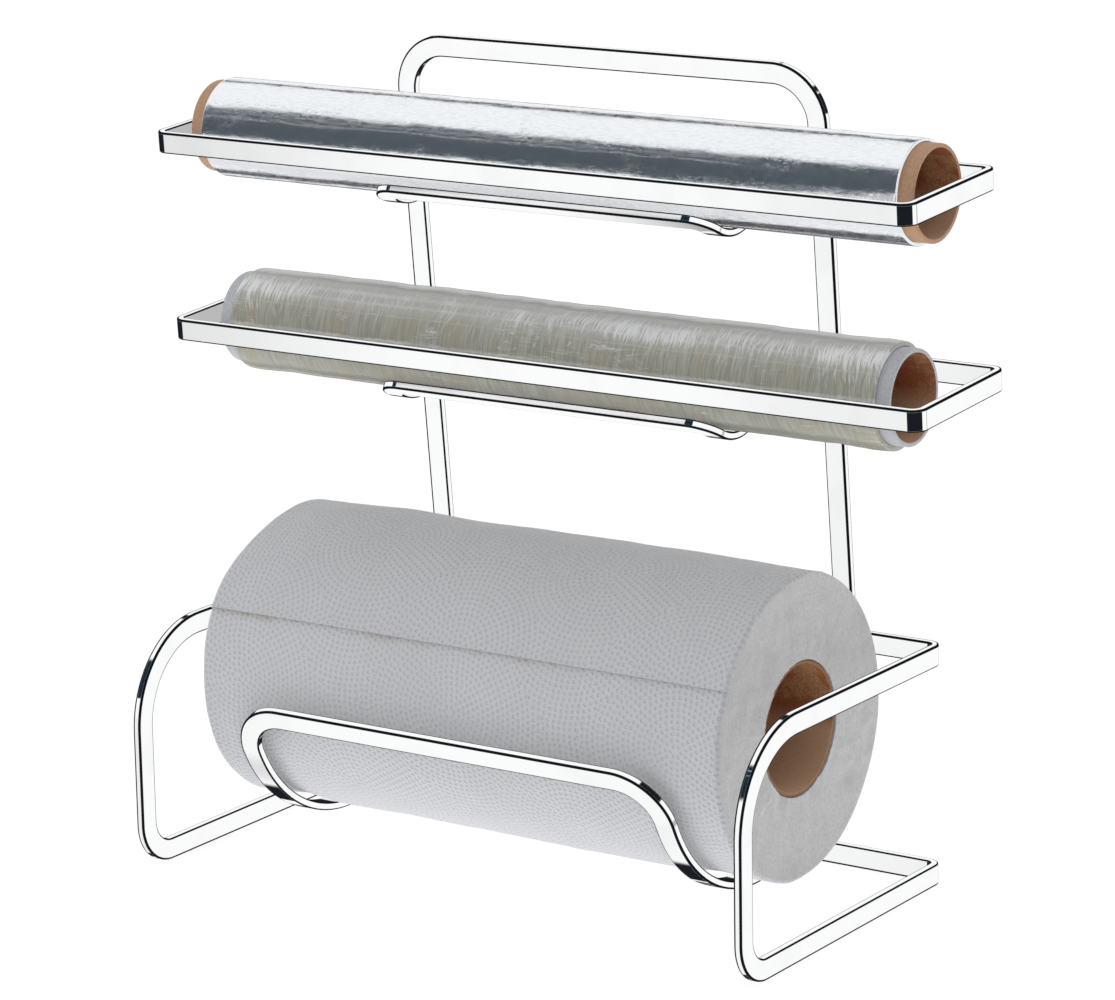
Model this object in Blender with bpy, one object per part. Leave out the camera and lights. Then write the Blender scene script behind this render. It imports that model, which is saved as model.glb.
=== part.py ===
"""A countertop stand of bent flat bar that holds three rolls.

A closed base loop stands on the counter, an inverted U of the same bar rises from its upper rear
crossbar, and two rectangular trays are welded to the front of that U. A U-shaped strap hangs in
each tray and carries a small roll, and a larger strap hangs from the base and carries the wide one.
Metres, +Z up, +X to the right seen from the front. The origin is on the counter, in the middle of
the space that the stand takes up.
"""

from math import ceil, cos, pi, radians, sin, tan

import bmesh
import bpy
from mathutils import Matrix, Vector

MM = 0.001

# The bar that everything is bent from, and the gap left where two pieces touch.
BAR_WIDTH = 8.0 * MM
BAR_THICKNESS = 3.0 * MM
EDGE_BREAK = 0.35 * MM
CONTACT_GAP = 0.3 * MM

# The rolls: the sheet's width, the winding's radius, and the core.
FOIL_SHEET_WIDTH = 300.0 * MM
FOIL_CORE_OVERHANG = 5.8 * MM
FOIL_CORE_RADIUS = 17.4 * MM
FOIL_DEPTH = 1.2 * MM
FILM_SHEET_WIDTH = 281.0 * MM
FILM_CORE_OVERHANG = 5.5 * MM
FILM_CORE_RADIUS = 17.4 * MM
FILM_DEPTH = 2.0 * MM
SMALL_CORE_WALL = 1.6 * MM
TOWEL_SHEET_WIDTH = 226.0 * MM
TOWEL_CORE_RECESS = 0.6 * MM
TOWEL_CORE_RADIUS = 24.6 * MM
TOWEL_CORE_WALL = 1.2 * MM
TOWEL_DEPTH = 32.4 * MM
TOWEL_SHEET_STEP = 0.5 * MM
TOWEL_LOOSE_EDGE_ANGLE = radians(27.5)

# The base: its room round the wide roll, and its bends.
BASE_SIDE_ROOM = 16.5 * MM
BASE_FRONT_ROOM = 7.6 * MM
BASE_ARM_RISE = 18.0 * MM
BASE_CORNER_INSIDE = 3.0 * MM
KNEE_INSIDE = 30.0 * MM
TOE_INSIDE = 9.0 * MM

# The strap under the wide roll.
GUARD_FLOOR_ROOM = 12.8 * MM
GUARD_ROLL_ROOM = 1.5 * MM
GUARD_HALF_WIDTH = 94.8 * MM
GUARD_CORNER_INSIDE = 14.0 * MM
GUARD_FRONT_RUN = 18.8 * MM
GUARD_FRONT_ANGLE = radians(23.0)
GUARD_LEAVE_ANGLE = radians(15.0)
GUARD_STANDOFF = 4.4 * MM

# The upright U behind the trays.
BACK_WIDTH = 187.5 * MM
BACK_LEAN = radians(5.5)
BACK_CORNER_INSIDE = 14.0 * MM
BACK_FOOT_BEND_INSIDE = 10.0 * MM
BACK_TOP_RISE = 30.4 * MM

# The trays, each hung by its rear bar, and how far apart the rolls stand.
TRAY_END_ROOM = 4.2 * MM
TRAY_DEPTH = 62.8 * MM
TRAY_TILT = radians(3.75)
TRAY_CORNER_INSIDE = 2.5 * MM
TRAY_RIM_RISE = 3.7 * MM
MIDDLE_ROLL_RISE = 62.2 * MM
TOP_ROLL_RISE = 73.2 * MM
TOP_ROLL_SETBACK = 30.6 * MM
MIDDLE_ROLL_SETBACK = 36.4 * MM

# The straps under the small rolls.
CRADLE_ROLL_ROOM = 1.2 * MM
CRADLE_HALF_WIDTH = 74.0 * MM
CRADLE_CORNER_INSIDE = 3.0 * MM
CRADLE_FRONT_RUN = 9.6 * MM
CRADLE_FRONT_ANGLE = radians(58.0)
CRADLE_LEAVE_ANGLE = radians(50.0)
STRAP_LAP_BEND_INSIDE = 3.0 * MM

# How finely bends and round pieces are divided.
BEND_STEP = radians(9.0)
SMALL_ROLL_SIDES = 72
TOWEL_SIDES = 120

HALF_TURN = pi
QUARTER_TURN = pi / 2
FULL_TURN = 2 * pi

# Worked out from the sizes above.
FOIL_RADIUS = FOIL_CORE_RADIUS + CONTACT_GAP + FOIL_DEPTH
FILM_RADIUS = FILM_CORE_RADIUS + CONTACT_GAP + FILM_DEPTH
TOWEL_RADIUS = TOWEL_CORE_RADIUS + CONTACT_GAP + TOWEL_DEPTH
FOIL_CORE_LENGTH = FOIL_SHEET_WIDTH + 2 * FOIL_CORE_OVERHANG
FILM_CORE_LENGTH = FILM_SHEET_WIDTH + 2 * FILM_CORE_OVERHANG

BASE_WIDTH = TOWEL_SHEET_WIDTH + 2 * (BASE_SIDE_ROOM + BAR_THICKNESS)
TOWEL_HEIGHT = GUARD_FLOOR_ROOM + BAR_THICKNESS + CONTACT_GAP + TOWEL_RADIUS
BASE_HEIGHT = TOWEL_HEIGHT + BASE_ARM_RISE
GUARD_INSIDE = TOWEL_RADIUS + GUARD_ROLL_ROOM
GUARD_OUTSIDE = GUARD_INSIDE + BAR_THICKNESS
BASE_DEPTH = (BAR_WIDTH + BASE_FRONT_ROOM + TOWEL_RADIUS + GUARD_OUTSIDE
              + GUARD_STANDOFF + BAR_THICKNESS)
STAND_DEPTH = BASE_DEPTH + CONTACT_GAP + BAR_THICKNESS
BASE_FRONT = -STAND_DEPTH / 2
BASE_REAR = BASE_FRONT + BASE_DEPTH
TOWEL_PLACE = BASE_FRONT + BAR_WIDTH + BASE_FRONT_ROOM + TOWEL_RADIUS

FILM_HEIGHT = TOWEL_HEIGHT + TOWEL_RADIUS + MIDDLE_ROLL_RISE
FOIL_HEIGHT = FILM_HEIGHT + TOP_ROLL_RISE
TRAY_LENGTH = max(FOIL_CORE_LENGTH, FILM_CORE_LENGTH) + 2 * (TRAY_END_ROOM + BAR_THICKNESS)
MIDDLE_TRAY_HEIGHT = FILM_HEIGHT + TRAY_RIM_RISE + MIDDLE_ROLL_SETBACK * sin(TRAY_TILT)
TOP_TRAY_HEIGHT = FOIL_HEIGHT + TRAY_RIM_RISE + TOP_ROLL_SETBACK * sin(TRAY_TILT)
BACK_HEIGHT = TOP_TRAY_HEIGHT + BACK_TOP_RISE

COLOURS = {
    "chrome": ((0.82, 0.83, 0.84), 0.12, 1.0),
    "cardboard": ((0.42, 0.29, 0.20), 0.9, 0.0),
    "foil": ((0.75, 0.76, 0.78), 0.28, 1.0),
    "film": ((0.44, 0.43, 0.38), 0.25, 0.0),
    "paper": ((0.70, 0.71, 0.73), 0.95, 0.0),
}


def clear_scene():
    """Remove every object that the new file starts with."""
    for old in list(bpy.data.objects):
        bpy.data.objects.remove(old, do_unlink=True)


def make_material(node, finish):
    """A material for one piece, with the colour, roughness and metallic value of its finish."""
    colour, roughness, metallic = COLOURS[finish]
    material = bpy.data.materials.new(node + "_" + finish)
    material.use_nodes = True
    shader = material.node_tree.nodes["Principled BSDF"]
    shader.inputs["Base Color"].default_value = (*colour, 1.0)
    shader.inputs["Roughness"].default_value = roughness
    shader.inputs["Metallic"].default_value = metallic
    return material


def make_empty(name, place, parent=None, turn=0.0):
    """An empty that carries pieces: at a place in its parent's frame, turned about X."""
    empty = bpy.data.objects.new(name, None)
    empty.location = place
    empty.rotation_euler = (turn, 0.0, 0.0)
    empty.parent = parent
    bpy.context.scene.collection.objects.link(empty)
    return empty


def make_object(node, shape, finish, parent=None, place=(0.0, 0.0, 0.0)):
    """Turn a bmesh into one named piece with its own material, shaded smooth between its edges."""
    bmesh.ops.recalc_face_normals(shape, faces=shape.faces)
    mesh = bpy.data.meshes.new(node)
    shape.to_mesh(mesh)
    shape.free()
    mesh.materials.append(make_material(node, finish))
    mesh.shade_smooth()
    mesh.set_sharp_from_angle(angle=radians(30.0))
    piece = bpy.data.objects.new(node, mesh)
    piece.location = place
    piece.parent = parent
    bpy.context.scene.collection.objects.link(piece)
    return piece


def bar_section():
    """The bar's section as (across, through) pairs: a rectangle with its four edges broken."""
    wide, thick = BAR_WIDTH / 2, BAR_THICKNESS / 2
    inner_wide, inner_thick = wide - EDGE_BREAK, thick - EDGE_BREAK
    return [(wide, -inner_thick), (wide, inner_thick), (inner_wide, thick), (-inner_wide, thick),
            (-wide, inner_thick), (-wide, -inner_thick), (-inner_wide, -thick), (inner_wide, -thick)]


def skin(rings, closed):
    """Join rings of points into one solid: a loop, or a bar with a face on each end."""
    shape = bmesh.new()
    loops = [[shape.verts.new(point) for point in ring] for ring in rings]
    pairs = list(zip(loops, loops[1:]))
    if closed:
        pairs.append((loops[-1], loops[0]))
    for first, second in pairs:
        for i in range(len(first)):
            j = (i + 1) % len(first)
            shape.faces.new((first[i], first[j], second[j], second[i]))
    if not closed:
        shape.faces.new(loops[0])
        shape.faces.new(loops[-1])
    return shape


class BentBar:
    """A flat bar on the bending bench: it grows by straight runs and by bends in its own frame.

    along points the way the bar grows, across lies along its width, and the two give the normal
    of its wide face. A flat bend turns the bar about its width, an edge bend about that normal.
    """

    def __init__(self, start, along, across):
        self.point = Vector(start)
        self.along = Vector(along).normalized()
        self.across = Vector(across).normalized()
        self.rings = [self.ring()]

    def ring(self):
        """The section's points at the bar's growing end."""
        through = self.along.cross(self.across)
        return [self.point + self.across * a + through * t for a, t in bar_section()]

    def run(self, length):
        """Grow straight on."""
        self.point = self.point + self.along * length
        self.rings.append(self.ring())

    def turn(self, axis, angle, radius):
        """Grow round an arc of the middle line, in equal steps."""
        steps = max(1, ceil(abs(angle) / BEND_STEP))
        side = axis.cross(self.along) * (1 if angle > 0 else -1)
        centre = self.point + side * radius
        step = Matrix.Rotation(angle / steps, 3, axis)
        for _ in range(steps):
            self.point = centre + step @ (self.point - centre)
            self.along = step @ self.along
            self.across = step @ self.across
            self.rings.append(self.ring())

    def bend_flat(self, angle, inside):
        """Bend about the width: the easy way for a flat bar."""
        self.turn(self.across.copy(), angle, inside + BAR_THICKNESS / 2)

    def bend_edge(self, angle, inside):
        """Bend about the wide face's normal: the hard way, which keeps the face flat."""
        self.turn(self.along.cross(self.across), angle, inside + BAR_WIDTH / 2)


def make_base():
    """The base: one closed loop, bent four times flat and four times on edge."""
    flat = BASE_CORNER_INSIDE + BAR_THICKNESS
    knee = KNEE_INSIDE + BAR_WIDTH
    toe = TOE_INSIDE + BAR_WIDTH
    across_half = BASE_WIDTH / 2 - flat
    upper_arm = BASE_DEPTH - flat - knee
    leg = BASE_HEIGHT - knee - toe
    foot = BASE_DEPTH - flat - toe
    start = (0.0, BASE_REAR - BAR_THICKNESS / 2, BASE_HEIGHT - BAR_WIDTH / 2)
    bar = BentBar(start, (1.0, 0.0, 0.0), (0.0, 0.0, 1.0))
    bar.run(across_half)
    bar.bend_flat(-QUARTER_TURN, BASE_CORNER_INSIDE)
    bar.run(upper_arm)
    bar.bend_edge(-QUARTER_TURN, KNEE_INSIDE)
    bar.run(leg)
    bar.bend_edge(-QUARTER_TURN, TOE_INSIDE)
    bar.run(foot)
    bar.bend_flat(-QUARTER_TURN, BASE_CORNER_INSIDE)
    bar.run(2 * across_half)
    bar.bend_flat(-QUARTER_TURN, BASE_CORNER_INSIDE)
    bar.run(foot)
    bar.bend_edge(-QUARTER_TURN, TOE_INSIDE)
    bar.run(leg)
    bar.bend_edge(-QUARTER_TURN, KNEE_INSIDE)
    bar.run(upper_arm)
    bar.bend_flat(-QUARTER_TURN, BASE_CORNER_INSIDE)
    make_object("base_frame", skin(bar.rings, closed=True), "chrome")


def back_foot_bend():
    """Height and forward step of the small bend that starts the uprights' lean."""
    radius = BACK_FOOT_BEND_INSIDE + BAR_THICKNESS / 2
    return radius * sin(BACK_LEAN), radius * (1 - cos(BACK_LEAN))


def back_face(height):
    """Where the uprights' front face stands at a height, in the stand's depth."""
    bend_rise, bend_step = back_foot_bend()
    middle = BASE_REAR + CONTACT_GAP + BAR_THICKNESS / 2 - bend_step
    climb = height - BASE_HEIGHT - bend_rise
    return middle - climb * tan(BACK_LEAN) - BAR_THICKNESS / 2 / cos(BACK_LEAN)


def make_back():
    """The inverted U: its feet stand flat on the crossbar's rear face, then it leans forward."""
    bend_rise, _ = back_foot_bend()
    corner = BACK_CORNER_INSIDE + BAR_WIDTH
    upright = (BACK_HEIGHT - BASE_HEIGHT - bend_rise) / cos(BACK_LEAN) - corner
    start = (-BACK_WIDTH / 2 + BAR_WIDTH / 2,
             BASE_REAR + CONTACT_GAP + BAR_THICKNESS / 2,
             BASE_HEIGHT - BAR_WIDTH)
    bar = BentBar(start, (0.0, 0.0, 1.0), (1.0, 0.0, 0.0))
    bar.run(BAR_WIDTH)
    bar.bend_flat(BACK_LEAN, BACK_FOOT_BEND_INSIDE)
    bar.run(upright)
    bar.bend_edge(QUARTER_TURN, BACK_CORNER_INSIDE)
    bar.run(BACK_WIDTH - 2 * corner)
    bar.bend_edge(QUARTER_TURN, BACK_CORNER_INSIDE)
    bar.run(upright)
    bar.bend_flat(BACK_LEAN, BACK_FOOT_BEND_INSIDE)
    bar.run(BAR_WIDTH)
    make_object("back_frame", skin(bar.rings, closed=False), "chrome")


def make_tray(node, parent):
    """A closed rectangle of bar. Its frame's origin is the top of its rear face's middle."""
    corner = TRAY_CORNER_INSIDE + BAR_THICKNESS
    long_side = TRAY_LENGTH - 2 * corner
    short_side = TRAY_DEPTH - 2 * corner
    bar = BentBar((0.0, -BAR_THICKNESS / 2, -BAR_WIDTH / 2), (1.0, 0.0, 0.0), (0.0, 0.0, 1.0))
    bar.run(long_side / 2)
    for length in (short_side, long_side, short_side):
        bar.bend_flat(-QUARTER_TURN, TRAY_CORNER_INSIDE)
        bar.run(length)
    bar.bend_flat(-QUARTER_TURN, TRAY_CORNER_INSIDE)
    make_object(node, skin(bar.rings, closed=True), "chrome", parent)


def walk(start, heading, legs, distance):
    """Point and heading a distance along a plane path of legs, each a length and its whole turn."""
    point = Vector(start)
    for index, (length, turn) in enumerate(legs):
        last = index == len(legs) - 1
        part = distance if last else min(distance, length)
        angle = turn * part / length
        if turn:
            radius = length / turn
            point = point + radius * Vector((sin(heading + angle) - sin(heading),
                                             cos(heading) - cos(heading + angle)))
        else:
            point = point + part * Vector((cos(heading), sin(heading)))
        heading += angle
        distance -= part
        if distance <= 0.0:
            break
    return point, heading


def strap_side(inside, front_run, front_angle, leave_angle, rear, top):
    """A strap's side view, from the front bar's upper edge to the bar that it is welded to.

    It runs straight down to the arc round the roll's axis, leaves that arc on a tangent and laps
    the bar's front face, which stands at rear. The front angle is where the arc starts, below the
    axis. Returns the start, the heading and the legs of its middle line.
    """
    radius = inside + BAR_THICKNESS / 2
    lap_radius = STRAP_LAP_BEND_INSIDE + BAR_THICKNESS / 2
    lap_middle = rear - CONTACT_GAP - BAR_THICKNESS / 2
    spare = lap_middle - radius
    tangent = (spare + (radius - lap_radius) * (1 - cos(leave_angle))) / sin(leave_angle)
    lap_start = (lap_radius - radius) * sin(leave_angle) + tangent * cos(leave_angle)
    sweep = HALF_TURN - leave_angle - front_angle
    legs = [(front_run, 0.0), (radius * sweep, sweep), (tangent, 0.0),
            (lap_radius * leave_angle, leave_angle), (top - lap_start, 0.0)]
    start = (-radius * cos(front_angle) - front_run * sin(front_angle),
             -radius * sin(front_angle) + front_run * cos(front_angle))
    return start, front_angle - QUARTER_TURN, legs


def strap_pattern(half_width, corner_inside, legs):
    """The strap laid out flat: stations of its middle line as (x, distance, heading).

    It comes down one side, rounds a corner into the front bar, and goes back up the other.
    """
    corner = corner_inside + BAR_WIDTH / 2
    arm = half_width - BAR_WIDTH / 2
    ends = [0.0]
    stops = []
    for length, turn in legs:
        steps = max(1, ceil(abs(turn) / BEND_STEP))
        stops += [ends[-1] + length * (i + 1) / steps for i in range(steps)]
        ends.append(ends[-1] + length)
    corner_end = BAR_WIDTH / 2 + corner
    rises = [corner_end] + [stop for stop in stops if stop > corner_end + EDGE_BREAK]
    steps = ceil(QUARTER_TURN / BEND_STEP)
    turns = [QUARTER_TURN * i / steps for i in range(1, steps)]
    right = [(arm - corner + corner * sin(turn), corner_end - corner * cos(turn), turn) for turn in turns]
    right = [(arm - corner, BAR_WIDTH / 2, 0.0)] + right
    right += [(arm, rise, QUARTER_TURN) for rise in rises]
    left = [(-x, distance, -heading) for x, distance, heading in reversed(right)]
    return left + right


def make_strap(node, half_width, corner_inside, side, parent, place):
    """Roll the flat pattern of a strap onto its side view and skin it."""
    start, first_heading, legs = side
    rings = []
    for x, distance, heading in strap_pattern(half_width, corner_inside, legs):
        ring = []
        for across, through in bar_section():
            point, angle = walk(start, first_heading, legs, distance + across * cos(heading))
            ring.append((x - across * sin(heading),
                         point.x - through * sin(angle), point.y + through * cos(angle)))
        rings.append(ring)
    make_object(node, skin(rings, closed=False), "chrome", parent, place)


def ring_points(radius, x, sides, step=0.0, first=0.0):
    """A circle about X. With a step it is one turn of a spiral, which jumps back at its first point."""
    points = []
    for i in range(sides):
        angle = first + FULL_TURN * i / sides
        reach = radius - step * i / (sides - 1)
        points.append((x, -reach * cos(angle), reach * sin(angle)))
    return points


def make_tube(node, length, outside, inside, sides, finish, parent, step=0.0, first=0.0):
    """A tube about X, centred on its parent. The outer face may wind inward by one sheet's step."""
    half = length / 2
    rings = [ring_points(outside, -half, sides, step, first), ring_points(outside, half, sides, step, first),
             ring_points(inside, half, sides, 0.0, first), ring_points(inside, -half, sides, 0.0, first)]
    make_object(node, skin(rings, closed=True), finish, parent)


def make_small_roll(name, sheet_width, core_length, core_radius, radius, axle):
    """A core tube, and round it the winding, which stops short of the core's ends."""
    make_tube(name + "_core", core_length, core_radius, core_radius - SMALL_CORE_WALL,
              SMALL_ROLL_SIDES, "cardboard", axle)
    make_tube(name + "_winding", sheet_width, radius, core_radius + CONTACT_GAP,
              SMALL_ROLL_SIDES, name, axle)


def make_tray_group(level, tray_height, setback, roll_height, roll):
    """A tray on the uprights, the strap in it, and the small roll that lies in the strap."""
    sheet_width, core_length, core_radius, radius = roll[1:]
    rear = back_face(tray_height) - CONTACT_GAP
    frame = make_empty(level + "_level", (0.0, rear, tray_height), turn=TRAY_TILT)
    make_tray(level + "_tray", frame)
    # The roll's axis in the tray's own tilted frame.
    rise = tray_height - roll_height
    back = -setback * cos(TRAY_TILT) - rise * sin(TRAY_TILT)
    drop = setback * sin(TRAY_TILT) - rise * cos(TRAY_TILT)
    axle = make_empty(roll[0] + "_axis", (0.0, back, drop), frame)
    make_small_roll(roll[0], sheet_width, core_length, core_radius, radius, axle)
    lift = CRADLE_ROLL_ROOM - CONTACT_GAP
    centre = (0.0, back, drop + lift)
    side = strap_side(radius + CRADLE_ROLL_ROOM, CRADLE_FRONT_RUN, CRADLE_FRONT_ANGLE,
                      CRADLE_LEAVE_ANGLE, -BAR_THICKNESS - back, -drop - lift)
    make_strap(level + "_cradle", CRADLE_HALF_WIDTH, CRADLE_CORNER_INSIDE, side, frame, centre)


def make_towel_group():
    """The wide roll, and the strap that carries it from the base's upper crossbar."""
    axle = make_empty("towel_axis", (0.0, TOWEL_PLACE, TOWEL_HEIGHT))
    core_length = TOWEL_SHEET_WIDTH - 2 * TOWEL_CORE_RECESS
    make_tube("towel_core", core_length, TOWEL_CORE_RADIUS, TOWEL_CORE_RADIUS - TOWEL_CORE_WALL,
              TOWEL_SIDES, "cardboard", axle)
    make_tube("towel_winding", TOWEL_SHEET_WIDTH, TOWEL_RADIUS, TOWEL_CORE_RADIUS + CONTACT_GAP,
              TOWEL_SIDES, "paper", axle, TOWEL_SHEET_STEP, TOWEL_LOOSE_EDGE_ANGLE)
    lift = GUARD_ROLL_ROOM - CONTACT_GAP
    centre = (0.0, TOWEL_PLACE, TOWEL_HEIGHT + lift)
    side = strap_side(GUARD_INSIDE, GUARD_FRONT_RUN, GUARD_FRONT_ANGLE, GUARD_LEAVE_ANGLE,
                      BASE_REAR - BAR_THICKNESS - TOWEL_PLACE, BASE_HEIGHT - TOWEL_HEIGHT - lift)
    make_strap("towel_cradle", GUARD_HALF_WIDTH, GUARD_CORNER_INSIDE, side, None, centre)


def main():
    """Build the stand and its rolls."""
    clear_scene()
    make_base()
    make_back()
    foil = ("foil", FOIL_SHEET_WIDTH, FOIL_CORE_LENGTH, FOIL_CORE_RADIUS, FOIL_RADIUS)
    film = ("film", FILM_SHEET_WIDTH, FILM_CORE_LENGTH, FILM_CORE_RADIUS, FILM_RADIUS)
    make_tray_group("top", TOP_TRAY_HEIGHT, TOP_ROLL_SETBACK, FOIL_HEIGHT, foil)
    make_tray_group("middle", MIDDLE_TRAY_HEIGHT, MIDDLE_ROLL_SETBACK, FILM_HEIGHT, film)
    make_towel_group()
    bpy.context.view_layer.update()


main()
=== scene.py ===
"""The look of the roll stand: chromed flat bar, foil, film and paper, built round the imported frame.

Laid out as an add-on: property groups hold the sizes and colours, one operator makes each group of
pieces, and main() calls them in order. Metres, +Z up. An angle round a roll starts at its front
and rises over its top.
"""

from math import ceil, cos, pi, radians, sin

import bpy
import numpy as np
from mathutils import Matrix, Vector


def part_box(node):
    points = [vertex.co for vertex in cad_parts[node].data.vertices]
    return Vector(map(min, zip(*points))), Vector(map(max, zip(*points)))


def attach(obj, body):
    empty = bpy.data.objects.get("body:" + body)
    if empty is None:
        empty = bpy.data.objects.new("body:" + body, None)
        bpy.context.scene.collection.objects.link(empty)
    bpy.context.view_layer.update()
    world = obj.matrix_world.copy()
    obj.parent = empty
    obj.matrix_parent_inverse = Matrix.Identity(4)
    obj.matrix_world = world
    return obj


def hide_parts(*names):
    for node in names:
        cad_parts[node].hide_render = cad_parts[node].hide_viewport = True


bl_info = {
    "name": "Roll stand look",
    "version": (1, 0, 0),
    "blender": (4, 5, 0),
    "location": "3D View > Sidebar > Roll stand",
    "description": "Builds the chromed stand, its foil, film and paper rolls, and the studio",
    "category": "Object",
}

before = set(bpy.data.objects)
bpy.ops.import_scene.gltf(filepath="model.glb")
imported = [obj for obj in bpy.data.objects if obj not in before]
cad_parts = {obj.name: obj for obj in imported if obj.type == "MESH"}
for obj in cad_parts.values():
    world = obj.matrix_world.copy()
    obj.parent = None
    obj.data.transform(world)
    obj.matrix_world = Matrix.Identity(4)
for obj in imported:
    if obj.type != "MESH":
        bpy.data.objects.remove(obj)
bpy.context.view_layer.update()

MM = 0.001
DEGREES = 180.0 / pi
HALF_TURN = pi
QUARTER_TURN = pi / 2
FULL_TURN = 2 * pi

# What the CAD source gives each bar: its broken edges, and the gap left where two pieces touch.
CAD_EDGE_BREAK = 0.35 * MM
CONTACT_GAP = 0.3 * MM


def low(node):
    """A node's lowest corner in the frame."""
    return np.array(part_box(node)[0])


def high(node):
    """A node's highest corner in the frame."""
    return np.array(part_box(node)[1])


def roll_axis(node):
    """Where a round node's axis stands, as (y, z)."""
    return (low(node)[1:] + high(node)[1:]) / 2


def roll_radius(node):
    """A round node's outer radius."""
    return (high(node)[2] - low(node)[2]) / 2


# Sizes and colours that a user may change.


def number(name, description, default, **more):
    """A plain number."""
    return bpy.props.FloatProperty(name=name, description=description, default=default, **more)


def length(name, description, default):
    """A size in metres."""
    return number(name, description, default, min=0.0, unit="LENGTH", precision=5)


def angle(name, description, degrees):
    """An angle, given here in degrees and kept in radians."""
    return number(name, description, radians(degrees), unit="ROTATION")


def colour(name, description, default):
    """A linear colour."""
    return bpy.props.FloatVectorProperty(name=name, description=description, default=default,
                                         size=3, min=0.0, max=1.0, subtype="COLOR")


class BarSizes(bpy.types.PropertyGroup):
    """The flat bar and the bends of the loops made from it."""

    width: length("Bar width", "Width of the flat bar", 8.0 * MM)
    thickness: length("Bar thickness", "Thickness of the flat bar", 3.0 * MM)
    rounding: length("Edge rounding", "Radius of the bar's four edges", 0.4 * MM)
    # Painted dark reflection: how far it reaches from each rounded edge onto the faces, and further
    # on the edge that faces up and out.
    outline: length("Outline", "How far the dark of an edge reaches onto each face", 0.08 * MM)
    bold_painted_edge_reflection: length("Bold outline", "The same, on the edge that faces up and out", 0.3 * MM)
    base_corner: length("Base corner", "Inside radius of the base's flat bends", 3.0 * MM)
    knee: length("Knee", "Inside radius of the base's upper front bends", 30.0 * MM)
    toe: length("Toe", "Inside radius of the base's lower front bends", 9.0 * MM)
    back_corner: length("Back corner", "Inside radius of the back's upper bends", 14.0 * MM)
    back_foot: length("Back foot", "Inside radius of the bend that starts the lean", 10.0 * MM)
    back_lean: angle("Back lean", "How far the uprights lean forward", 5.5)
    tray_corner: length("Tray corner", "Inside radius of the trays' bends", 2.5 * MM)
    tray_tilt: angle("Tray tilt", "How far the trays' fronts hang down", 3.75)


class StrapSizes(bpy.types.PropertyGroup):
    """A strap that hangs from a bar and carries a roll."""

    room: length("Room", "Space between the strap and the roll", 1.2 * MM)
    half_width: length("Half width", "Half of the strap's width across the stand", 74.0 * MM)
    corner: length("Corner", "Inside radius of the two front corners", 3.0 * MM)
    front_run: length("Front run", "Straight run of the front bar", 9.6 * MM)
    front_angle: angle("Front angle", "Where the arc starts, below the roll's axis", 58.0)
    leave_angle: angle("Leave angle", "Where the strap leaves the arc behind the roll", 50.0)
    lap_bend: length("Lap bend", "Inside radius of the bend at the weld", 3.0 * MM)


class RollSizes(bpy.types.PropertyGroup):
    """The three rolls."""

    small_wall: length("Small core wall", "Wall of the two small cores", 1.6 * MM)
    paper_wall: length("Paper core wall", "Wall of the paper's core", 1.2 * MM)
    paper_radius: length("Paper radius", "Outer radius of the paper at its loose edge", 57.3 * MM)
    sheet_step: length("Sheet step", "How far the paper winds inward in one turn", 0.5 * MM)
    loose_edge: angle("Loose edge", "Where the paper's loose edge lies on the roll", 27.5)
    dot_row: length("Dot row", "Distance between the rows of embossed dots", 2.15 * MM)
    dot_pitch: length("Dot pitch", "Distance between the dots in a row", 2.4 * MM)


class Finishes(bpy.types.PropertyGroup):
    """The colours of every finish."""

    chrome: colour("Chrome", "Bright plating", (0.96, 0.965, 0.97))
    # The colour of the dark reflection painted along the bar's rounded edges.
    outline: colour("Outline", "The dark line that the bar's edges show", (0.008, 0.009, 0.012))
    card: colour("Card", "Outside of the foil's core", (0.44, 0.27, 0.17))
    card_bore: colour("Card bore", "Inside of every core", (0.42, 0.215, 0.105))
    paper_card: colour("Paper card", "Rim and outside of the paper's core", (0.25, 0.14, 0.08))
    film_card: colour("Film card", "Outside of the film's core", (0.46, 0.475, 0.50))
    foil: colour("Foil", "Bright side of the foil", (0.885, 0.91, 0.94))
    film: colour("Film", "Wound clear film", (0.318, 0.317, 0.268))
    # The colour of the film's painted highlights: white streaks, glints and torn lines.
    painted_film_highlight: colour("Film streak", "Where the film's layers lift", (0.72, 0.73, 0.73))
    paper: colour("Paper", "Paper sheet", (0.545, 0.555, 0.575))
    paper_end: colour("Paper end", "The layers' edges at the roll's ends", (0.525, 0.525, 0.53))
    # The colour of the brownish shade painted under the paper's loose edge.
    loose_edge_shade: colour("Stain", "The paper under its loose edge", (0.40, 0.36, 0.30))


class Studio(bpy.types.PropertyGroup):
    """The camera's place, and the light."""

    azimuth: angle("Azimuth", "How far round to the right the camera stands", 34.07)
    elevation: angle("Elevation", "How far above the level the camera stands", 13.81)
    roll: angle("Camera roll", "How far the camera is turned about its view", -1.0)
    distance: length("Distance", "From the camera to the point it looks at", 1683.5 * MM)
    focal: length("Focal length", "Focal length of the camera", 149.9 * MM)
    target: bpy.props.FloatVectorProperty(
        name="Target", description="The point that the camera looks at", subtype="TRANSLATION",
        size=3, default=(11.67 * MM, -1.65 * MM, 144.94 * MM))
    key_power: number("Key power", "Watts of the large lamp on the left", 4.2, min=0.0,
                      unit="POWER")


class RollStand(bpy.types.PropertyGroup):
    """Everything that the panel shows."""

    bar: bpy.props.PointerProperty(type=BarSizes)
    small_strap: bpy.props.PointerProperty(type=StrapSizes)
    wide_strap: bpy.props.PointerProperty(type=StrapSizes)
    rolls: bpy.props.PointerProperty(type=RollSizes)
    finishes: bpy.props.PointerProperty(type=Finishes)
    studio: bpy.props.PointerProperty(type=Studio)


# Meshes.

SHARP_ANGLE = radians(50.0)
BEND_STEP = radians(3.0)
EDGE_STEPS = 5

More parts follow.
